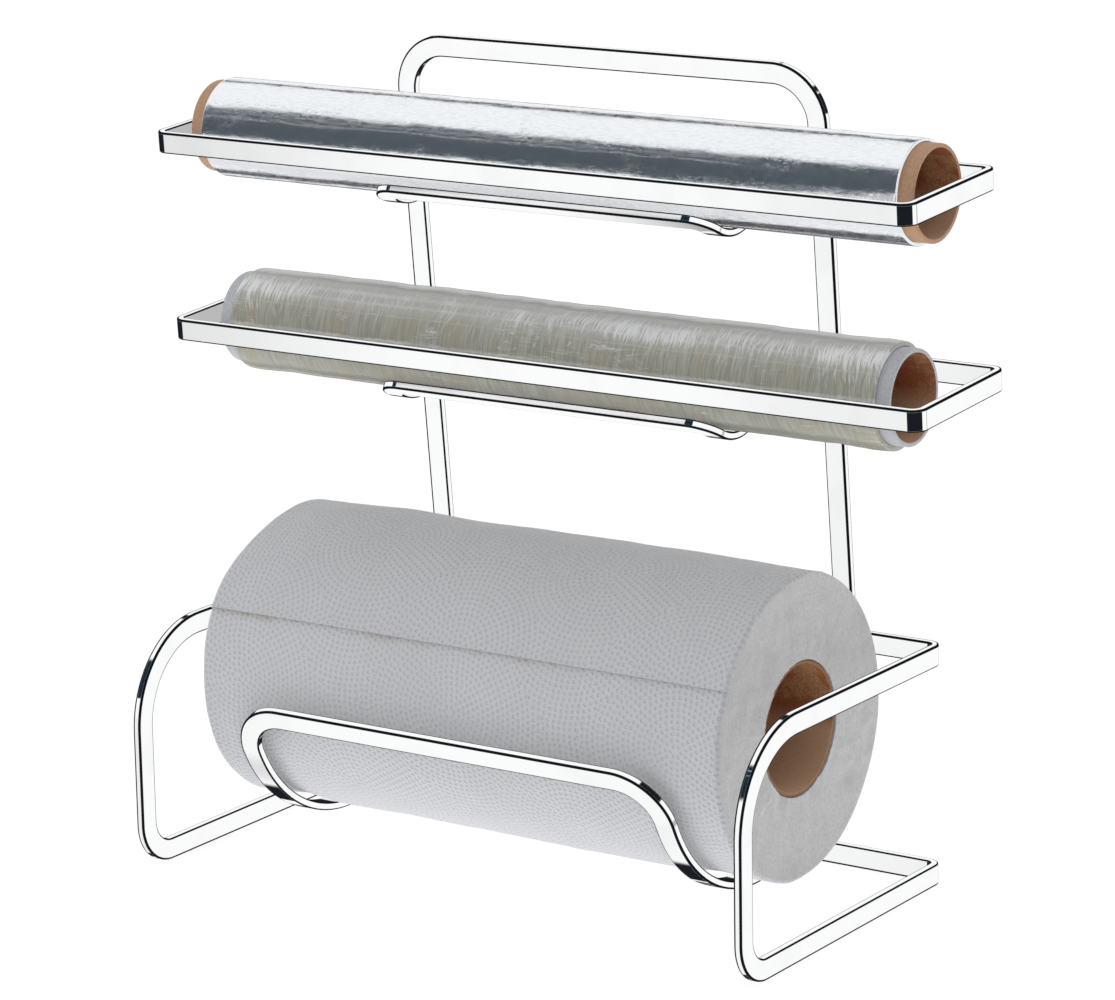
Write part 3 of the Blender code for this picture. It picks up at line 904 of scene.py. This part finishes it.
class MakeBase(bpy.types.Operator):
    """Bend the base's closed loop."""

    bl_idname = "roll_stand.base"
    bl_label = "Base"

    def execute(self, context):
        stand = context.scene.roll_stand
        bar = stand.bar
        far = high("base_frame")
        _, depth, height = far - low("base_frame")
        flat = bar.base_corner + bar.thickness
        knee, toe = bar.knee + bar.width, bar.toe + bar.width
        half, arm, leg, foot = (far[0] - flat, depth - flat - knee, height - knee - toe,
                                depth - flat - toe)
        start = (0.0, far[1] - bar.thickness / 2, far[2] - bar.width / 2)
        bench = Bench(bar, start, (1.0, 0.0, 0.0), (0.0, 0.0, 1.0))
        corner = (FLAT, -QUARTER_TURN, bar.base_corner)
        at_knee, at_toe = (EDGE, -QUARTER_TURN, bar.knee), (EDGE, -QUARTER_TURN, bar.toe)
        bench.follow((half, *corner), (arm, *at_knee), (leg, *at_toe), (foot, *corner),
                     (2 * half, *corner), (foot, *at_toe), (leg, *at_knee), (arm, *corner))
        make_bar(stand, "base_bar", "base_frame", bench.skin(BASE_BOLD))
        return {"FINISHED"}


class MakeBack(bpy.types.Operator):
    """Bend the inverted U that carries the trays."""

    bl_idname = "roll_stand.back"
    bl_label = "Back"

    def execute(self, context):
        stand = context.scene.roll_stand
        bar = stand.bar
        lean = bar.back_lean
        _, base_rear, base_top = high("base_frame")
        half, _, top = high("back_frame")
        top = top - (bar.thickness / 2 - CAD_EDGE_BREAK) * sin(lean)
        bend_rise = (bar.back_foot + bar.thickness / 2) * sin(lean)
        outside = bar.back_corner + bar.width
        upright = (top - base_top - bend_rise) / cos(lean) - outside
        start = (bar.width / 2 - half, base_rear + CONTACT_GAP + bar.thickness / 2,
                 base_top - bar.width)
        bench = Bench(bar, start, (0.0, 0.0, 1.0), (1.0, 0.0, 0.0))
        foot, corner = (FLAT, lean, bar.back_foot), (EDGE, QUARTER_TURN, bar.back_corner)
        bench.tip(False)
        bench.follow((bar.width, *foot), (upright, *corner), (2 * (half - outside), *corner),
                     (upright, *foot))
        # The last straight station stands clear of the tip's own.
        bench.run(bar.width - 2 * TIP_LENGTH)
        bench.point = bench.point + 2 * TIP_LENGTH * bench.along
        bench.tip(True)
        make_bar(stand, "back_bar", "back_frame", bench.skin(BACK_BOLD), capped=True)
        return {"FINISHED"}


def level_origin(node, bar):
    """The top of a tray's rear face, from the tray's box and its tilt."""
    _, rear, top = high(node)
    return np.array([0.0, rear - (bar.width - CAD_EDGE_BREAK) * sin(bar.tray_tilt),
                     top + CAD_EDGE_BREAK * sin(bar.tray_tilt)])


def tray_depth(node, bar):
    """A tray's depth in its own frame, from its box's depth and its tilt."""
    spare = (bar.width - CAD_EDGE_BREAK) * sin(bar.tray_tilt)
    return (high(node)[1] - low(node)[1] - spare) / cos(bar.tray_tilt)


class MakeTrays(bpy.types.Operator):
    """Bend the two trays."""

    bl_idname = "roll_stand.trays"
    bl_label = "Trays"

    def execute(self, context):
        stand = context.scene.roll_stand
        bar = stand.bar
        corner = bar.tray_corner + bar.thickness
        for node in ("top_tray", "middle_tray"):
            long_side = 2 * (high(node)[0] - corner)
            short_side = tray_depth(node, bar) - 2 * corner
            bench = Bench(bar, (0.0, -bar.thickness / 2, -bar.width / 2), (1.0, 0.0, 0.0),
                          (0.0, 0.0, 1.0))
            bench.follow(*((side, FLAT, -QUARTER_TURN, bar.tray_corner)
                           for side in (long_side / 2, short_side, long_side, short_side)))
            rings, outline = bench.skin(TRAY_BOLD)
            points = place_points(rings, level_origin(node, bar), bar.tray_tilt)
            make_bar(stand, node + "_bar", node, (points, outline))
        return {"FINISHED"}


class MakeStraps(bpy.types.Operator):
    """Bend the three straps that carry the rolls."""

    bl_idname = "roll_stand.straps"
    bl_label = "Straps"

    def execute(self, context):
        stand = context.scene.roll_stand
        bar = stand.bar
        for level, winding in (("top", "foil_winding"), ("middle", "film_winding")):
            self.bend(stand, level + "_strap", level + "_cradle", stand.small_strap,
                      roll_axis(winding), roll_radius(winding), (-bar.thickness, 0.0),
                      level_origin(level + "_tray", bar), bar.tray_tilt)
        _, base_rear, base_top = high("base_frame")
        self.bend(stand, "paper_strap", "towel_cradle", stand.wide_strap,
                  roll_axis("towel_core"), stand.rolls.paper_radius,
                  (base_rear - bar.thickness, base_top), (0.0, 0.0, 0.0), 0.0)
        return {"FINISHED"}

    def bend(self, stand, name, node, sizes, axis, radius, weld, origin, tilt):
        """One strap round a roll, in a frame that is turned about X by tilt and stands at origin.

        weld is where the bar's front face and upper edge stand in that frame.
        """
        bar = stand.bar
        y, z = axis - origin[1:]
        back, up = y * cos(tilt) + z * sin(tilt), z * cos(tilt) - y * sin(tilt)
        lift = sizes.room - CONTACT_GAP
        side = strap_side(bar, sizes, radius + sizes.room, weld[0] - back, weld[1] - up - lift)
        rings, outline = strap_skin(bar, sizes, side, STRAP_BOLD)
        points = place_points(rings + (0.0, back, up + lift), origin, tilt)
        make_bar(stand, name, node, (points, outline), capped=True)


class MakeCores(bpy.types.Operator):
    """Make the card cores of the three rolls."""

    bl_idname = "roll_stand.cores"
    bl_label = "Cores"

    def execute(self, context):
        finishes, rolls = context.scene.roll_stand.finishes, context.scene.roll_stand.rolls
        for name, outside, wall in (("foil", finishes.card, rolls.small_wall),
                                    ("film", finishes.film_card, rolls.small_wall),
                                    ("towel", finishes.paper_card, rolls.paper_wall)):
            node = name + "_core"
            axis, radius = roll_axis(node), roll_radius(node)
            x, reach, bore = tube_profile(high(node)[0], radius, radius - wall, CORE_ROUNDING)
            points = turn_about(axis, x[None, :], reach[None, :], full_circle(CORE_SIDES))
            finish = card_finish(name + "_card", outside, finishes.card_bore, axis[1])
            values = {"bore": np.broadcast_to(bore, points.shape[:2])}
            make_piece(name + "_tube", points, finish, values, name + "_roll", node)
        return {"FINISHED"}


def winding_section(node, stations, depth_steps, rounding):
    """A winding's closed section as rows of x, of drop, and of depth.

    drop is how far the rounded rim falls below the face, and depth is 0 on the face and 1 in the
    bore. The section runs along the face towards +X, in over the end, back and out.
    """
    half = high(node)[0]
    face = np.linspace(-1.0, 1.0, stations) * (half - rounding)
    turn = np.linspace(0.0, QUARTER_TURN, EDGE_STEPS)[1:]
    rim_x, rim_drop = half - rounding + rounding * np.sin(turn), rounding * (1 - np.cos(turn))
    depth = np.linspace(0.0, 1.0, depth_steps + 1)[1:]
    blank = np.zeros(len(turn))
    rows = ((face, rim_x, np.full(len(depth), half), np.full(len(depth), -half), -rim_x[::-1]),
            (np.zeros(stations), rim_drop, np.full(2 * len(depth), rounding), rim_drop[::-1]),
            (np.zeros(stations), blank, depth, depth[::-1], blank))
    return [np.concatenate(row)[None, :] for row in rows]


def wind(axis, core, section, face, turn):
    """A winding's points: reach falls from its face, less the rim's drop, to its bore."""
    x, drop, depth = section
    bore = roll_radius(core) + CONTACT_GAP
    return turn_about(axis, x, (face - drop) * (1 - depth) + bore * depth, turn)


PAPER_SIDES, PAPER_STATIONS = 320, 260

# How far each sheet's face lies under its solid's, so that its ripples stay inside.
FOIL_SINK = 0.09 * MM
FILM_SINK = 0.35 * MM
PAPER_SINK = 0.55 * MM


def foil_face(x, turn, radius):
    """The foil's face: a slow swell, and sharp creases in patches."""
    swell, crease, patch = (ripples("foil " + kind, x, turn, radius)
                            for kind in ("swell", "crease", "patch"))
    creases = np.clip(patch, 0.0, 1.5) * np.exp(-6 * np.abs(crease))
    return radius - FOIL_SINK + swell * 0.02 * MM - creases * 0.012 * MM


def film_face(x, turn, radius):
    """The film's face: a slow swell, and rings where its layers end."""
    swell = ripples("film swell", x, turn, radius)
    bands = ripples("film bands", x, turn * 0, radius)
    return radius - FILM_SINK + swell * 0.1 * MM + bands * 0.07 * MM


class MakeSmallSheets(bpy.types.Operator):
    """Wind the foil and the film."""

    bl_idname = "roll_stand.small_sheets"
    bl_label = "Foil and film"

    def execute(self, context):
        for name, sides, stations, steps, rim, face, finish in (
                ("foil", 216, 400, 2, 0.25 * MM, foil_face, foil_finish),
                ("film", 180, 420, 3, 0.7 * MM, film_face, film_finish)):
            node = name + "_winding"
            section, turn = winding_section(node, stations, steps, rim), full_circle(sides)
            points = wind(roll_axis(node), name + "_core", section,
                          face(section[0], turn, roll_radius(node)), turn)
            make_piece(name + "_sheet", points, finish(context.scene.roll_stand.finishes), {},
                       name + "_roll", node)
        return {"FINISHED"}


# The strap's press into the paper, and the angles below the front where it fades in and out.
PRESS_DEPTH, PRESS_WIDTH = 1.3 * MM, 9.0 * MM
PRESS_START, PRESS_RISE = radians(12.0), radians(25.0)
PRESS_END, PRESS_FALL = radians(150.0), radians(40.0)

# The sag at the paper's left end, and how far out along the roll it starts.
SAG_DEPTH, SAG_ANGLE, SAG_WIDTH = 5.0 * MM, radians(66.0), radians(32.0)
SAG_START, SAG_RUN = 58 * MM, 55 * MM

# The slump of both ends, and the lip of the loose edge.
SLUMP_DEPTH, SLUMP_START, SLUMP_RUN = 0.6 * MM, 60 * MM, 50 * MM
LIP_HEIGHT, LIP_LENGTH = 0.5 * MM, 3.0 * MM


def ramp(value, start, run):
    """0 up to start, then straight up to 1 over run."""
    return np.clip((value - start) / run, 0.0, 1.0)


def strap_press(stand, x, turn):
    """How much the wide strap's two arms press into the paper, from 0 to 1.

    It falls off as a bell curve across each arm, and fades in and out round the roll.
    """
    arm = stand.wide_strap.half_width - stand.bar.width / 2
    below = np.remainder(-turn, FULL_TURN)
    reach = ramp(below, PRESS_START, PRESS_RISE) * ramp(-below, -PRESS_END, PRESS_FALL)
    return reach * np.exp(-((np.abs(x) - arm) / PRESS_WIDTH) ** 2)


def sagging(x, turn):
    """Where the paper's left end has sagged, at its top towards the front, from 0 to 1."""
    off = np.remainder(turn - SAG_ANGLE + HALF_TURN, FULL_TURN) - HALF_TURN
    return np.exp(-(off / SAG_WIDTH) ** 2) * ramp(-x, SAG_START, SAG_RUN) ** 2


class MakePaper(bpy.types.Operator):
    """Wind the paper, with its loose edge on the front."""

    bl_idname = "roll_stand.paper"
    bl_label = "Paper"

    def execute(self, context):
        stand = context.scene.roll_stand
        rolls = stand.rolls
        section = winding_section("towel_winding", PAPER_STATIONS, 14, 1.6 * MM)
        x, drop, depth = section
        wound = np.linspace(0.0, 1.0, PAPER_SIDES)[:, None]
        turn = rolls.loose_edge + FULL_TURN * wound
        radius = rolls.paper_radius
        swell, crumple, slump = (ripples("paper " + kind, x, turn, radius)
                                 for kind in ("swell", "crumple", "slump"))
        outer = ramp(np.abs(x), SLUMP_START, SLUMP_RUN) ** 2
        lip = np.exp(-radius * FULL_TURN * wound / LIP_LENGTH)
        face = (radius - PAPER_SINK - rolls.sheet_step * wound + lip * LIP_HEIGHT
                + np.where(swell > 0, 0.12, 0.22) * swell * MM + crumple * 0.06 * MM
                - np.abs(slump) * outer * SLUMP_DEPTH
                - strap_press(stand, x, turn) * PRESS_DEPTH - sagging(x, turn) * SAG_DEPTH)
        points = wind(roll_axis("towel_core"), "towel_core", section, face, turn)
        ends = ripples("paper ends", depth * 30 * MM, turn, radius) * 0.3 * MM
        points[..., 0] -= np.sign(x) * (depth > 0) * np.abs(ends)
        side = np.broadcast_to((depth == 0) & (drop < 1.0 * MM), points.shape[:2])
        sheet = np.stack(np.broadcast_arrays(x, radius * FULL_TURN * wound, side), axis=-1)
        make_piece("paper_sheet", points, paper_finish(stand.finishes, rolls), {"sheet": sheet},
                   "towel_roll", "towel_winding")
        return {"FINISHED"}


# The studio.

# The dark cards that mirrors see. Each covers the directions inside all of its soft limits: a part
# of the direction or a bearing in degrees, then a rise from one value to another, or a band with
# its softness. They give the bars' bends their black patches.
CARDS = (
    (("aside", -22.0, 96.0, 2.0), ("z", -0.44, -0.10, 0.03)),
    (("around", -45.0, 50.0, 2.0), ("z", -0.42, -0.05, 0.03)),
    (("z", -0.585, -0.60), ("y", 0.22, 0.30), ("x", -0.2, -0.3)),
    (("z", -0.47, -0.50), ("y", 0.655, 0.665), ("x", 0.30, 0.20)),
    (("x", 0.31, 0.80, 0.02), ("z", 0.42, 0.48), ("y", 0.17, 0.21)),
    (("x", 0.40, 0.62, 0.02), ("z", 0.06, 0.43, 0.01), ("y", 0.62, 0.68)),
    (("x", -0.15, -0.25), ("z", -0.47, 0.04, 0.03), ("y", 0.55, 0.62)),
    (("x", -0.36, -0.42), ("z", 0.45, 0.61, 0.02), ("y", 0.54, 0.58)),
)
CARD_DARK = (0.010, 0.012, 0.017)

# Grey regions of the same kind, each with how dark it is.
GREYS = (
    (0.2, ("x", -0.575, -0.64), ("y", 0.1, -0.1), ("z", 0.0, -0.1)),
    (0.1, ("x", -0.515, -0.48), ("y", 0.1, -0.1), ("z", 0.0, -0.1)),
    (0.5, ("x", 0.575, 0.595), ("y", 0.6, 0.7), ("z", -0.24, -0.12, 0.02)),
    (0.26, ("z", -0.77, -0.82), ("x", -0.505, -0.535)),
)


def region(parts, limits, strength=1.0):
    """The product of some soft limits on the parts of a direction, times a strength."""
    for key, *limit in limits:
        part = parts[key]
        strength = (part.rise if len(limit) == 2 else part.band)(*limit) * strength
    return strength


def studio_world(world):
    """White to the camera and to mirrors, with dark cards, and a soft wide light for all else.

    The soft light is stronger from below and from behind, and weaker from the right.
    """
    graph = Graph(world)
    x, y, z = graph.split(graph.add("ShaderNodeTexCoord", output="Generated"))
    parts = {"x": x, "y": y, "z": z,
             "around": y.maths("ARCTAN2", 0.0 - x) * DEGREES,
             "aside": x.maths("ARCTAN2", 0.0 - y) * DEGREES}
    dark, *others = [region(parts, card) for card in CARDS]
    for card in others:
        dark = dark.most(card)
    grey = sum(region(parts, limits, strength) for strength, *limits in GREYS)
    mirrored = graph.mix(graph.mix(WHITE, BLACK, grey), CARD_DARK, dark)
    below = (0.0 - z).most(0.0)
    level = 1.0 + below * below * 1.2 - x * 0.22 + y * 0.40
    # A Mix node stops at 1, so the level is halved before it and doubled after it.
    soft = graph.vectors("MULTIPLY", graph.mix(BLACK, WHITE, level * 0.5), (2.0, 2.0, 2.0))
    rays = graph.add("ShaderNodeLightPath", output="Is Glossy Ray")
    clear = rays.other("Is Camera Ray").most(rays.other("Is Transmission Ray"))
    seen = graph.mix(graph.mix(soft, mirrored, rays), WHITE, clear)
    light = graph.add("ShaderNodeBackground", None, {"Color": seen, "Strength": 1.0})
    graph.add("ShaderNodeOutputWorld", None, {"Surface": light})


FLOOR_HALF = 4.0
FLOOR_GLOW = 1.06
FLOOR_SHADOW = 0.15
FLOOR_GREY = (0.9, 0.9, 0.9, 1.0)

# The dark card in front of the stand, which only mirrors see: its colour, its depth, and its limits
# across and in height, in metres.
CARD_COLOUR = (0.008, 0.026, 0.042)
CARD_DEPTH = -0.40
CARD_ACROSS, CARD_HEIGHT = (-0.90, 0.10), (0.180, 0.95)
CARD_FADE = (0.74, 0.93)

# Its white parts, as limits across and in height: a slot for each small strap's upper edge, and a
# window for the base's right knee.
CARD_SLOTS = (((-0.60, -0.24), (0.640, 0.6505)), ((-0.55, -0.20), (0.5285, 0.539)),
              ((-0.085, 0.20), (0.10, 0.27)))


def card_shade():
    """Near black, fading to white over the card's top, and white in its slots and its window."""
    graph = material_graph("card")
    x, _, z = graph.split(graph.position())
    white = z.rise(*CARD_FADE)
    for across, height in CARD_SLOTS:
        white = white.most(x.band(*across, 6 * MM) * z.band(*height, 2 * MM))
    return graph.finish(graph.glow(graph.mix(CARD_COLOUR, WHITE, white)))


def floor_finish():
    """White paper floor: it glows white to the camera, and a share of it takes the soft shadow."""
    graph = material_graph("floor")
    matte = graph.add("ShaderNodeBsdfDiffuse", None, {"Color": FLOOR_GREY})
    return graph.finish(graph.add("ShaderNodeMixShader", None, {
        0: FLOOR_SHADOW, 1: graph.glow(WHITE, FLOOR_GLOW), 2: matte}))


def make_plane(name, corners, finish, unseen_by):
    """A flat stage piece that some kinds of rays pass by."""
    mesh = bpy.data.meshes.new(name)
    mesh.from_pydata(corners, [], [(0, 1, 2, 3)])
    mesh.materials.append(finish)
    plane = bpy.data.objects.new(name, mesh)
    for rays in unseen_by:
        setattr(plane, "visible_" + rays, False)
    bpy.context.scene.collection.objects.link(plane)


def view_axes(studio):
    """The camera's right, up and forward directions, from its azimuth, elevation and roll."""
    a, e, r = studio.azimuth, studio.elevation, studio.roll
    forward = Vector((-sin(a) * cos(e), cos(a) * cos(e), -sin(e)))
    right = Vector((cos(a), sin(a), 0.0))
    up = Vector((-sin(a) * sin(e), cos(a) * sin(e), cos(e)))
    return right * cos(r) + up * sin(r), up * cos(r) - right * sin(r), forward


def aim(name, data, place, right, up, forward):
    """A new object for a camera or a lamp, at a place and looking forward."""
    thing = bpy.data.objects.new(name, data)
    bpy.context.scene.collection.objects.link(thing)
    axes = Matrix((right, up, -forward)).transposed().to_4x4()
    thing.matrix_world = Matrix.Translation(place) @ axes
    return thing


SENSOR_WIDTH = 36.0
VIEW_END = 20.0
KEY_SIZE = 0.7
KEY_PLACE = (-1.1, -1.1, 0.20)


class MakeStudio(bpy.types.Operator):
    """Set up the floor, the light and the camera."""

    bl_idname = "roll_stand.studio"
    bl_label = "Studio"

    def execute(self, context):
        scene = context.scene
        studio = scene.roll_stand.studio
        scene.view_settings.view_transform = "Standard"
        scene.world = bpy.data.worlds.new("studio")
        studio_world(scene.world)
        floor = [(x * FLOOR_HALF, y * FLOOR_HALF, 0.0)
                 for x, y in ((-1, -1), (1, -1), (1, 1), (-1, 1))]
        make_plane("floor", floor, floor_finish(), ("diffuse", "glossy", "transmission", "shadow"))
        (left, right), (foot, top) = CARD_ACROSS, CARD_HEIGHT
        card = [(x, CARD_DEPTH, z)
                for x, z in ((left, foot), (right, foot), (right, top), (left, top))]
        make_plane("card", card, card_shade(), ("camera", "diffuse", "transmission", "shadow"))

        data = bpy.data.cameras.new("camera")
        data.lens = studio.focal / MM
        data.sensor_width = SENSOR_WIDTH
        data.clip_end = VIEW_END
        right, up, forward = view_axes(studio)
        target = Vector(studio.target)
        scene.camera = aim("camera", data, target - forward * studio.distance, right, up, forward)

        data = bpy.data.lights.new("key", "AREA")
        data.size = KEY_SIZE
        data.energy = studio.key_power
        gaze = (target - Vector(KEY_PLACE)).normalized()
        side = gaze.cross(Vector((0.0, 0.0, 1.0))).normalized()
        aim("key", data, KEY_PLACE, side, side.cross(gaze), gaze).visible_glossy = False
        return {"FINISHED"}


OPERATORS = (MakeBase, MakeBack, MakeTrays, MakeStraps, MakeCores, MakeSmallSheets, MakePaper,
             MakeStudio)


class RollStandPanel(bpy.types.Panel):
    """Lists the operators and the sizes."""

    bl_idname = "VIEW3D_PT_roll_stand"
    bl_label = "Roll stand"
    bl_space_type = "VIEW_3D"
    bl_region_type = "UI"
    bl_category = "Roll stand"

    def draw(self, context):
        for operator in OPERATORS:
            self.layout.operator(operator.bl_idname)
        stand = context.scene.roll_stand
        for name in ("bar", "small_strap", "wide_strap", "rolls", "finishes", "studio"):
            group = getattr(stand, name)
            box = self.layout.box()
            box.label(text=name.replace("_", " ").capitalize())
            for key in group.bl_rna.properties.keys():
                if key not in ("rna_type", "name"):
                    box.prop(group, key)


CLASSES = (BarSizes, StrapSizes, RollSizes, Finishes, Studio, RollStand, *OPERATORS,
           RollStandPanel)


def register():
    """Register every class, and give the scene its sizes."""
    for item in CLASSES:
        bpy.utils.register_class(item)
    bpy.types.Scene.roll_stand = bpy.props.PointerProperty(type=RollStand)


def unregister():
    """Undo register."""
    del bpy.types.Scene.roll_stand
    for item in reversed(CLASSES):
        bpy.utils.unregister_class(item)


def main():
    """Build the look."""
    register()
    wide = bpy.context.scene.roll_stand.wide_strap
    wide.room, wide.half_width, wide.corner = 1.5 * MM, 94.8 * MM, 14.0 * MM
    wide.front_run, wide.front_angle, wide.leave_angle = 18.8 * MM, radians(23.0), radians(15.0)
    for operator in OPERATORS:
        group, name = operator.bl_idname.split(".")
        getattr(getattr(bpy.ops, group), name)()


if __name__ == "__main__":
    main()
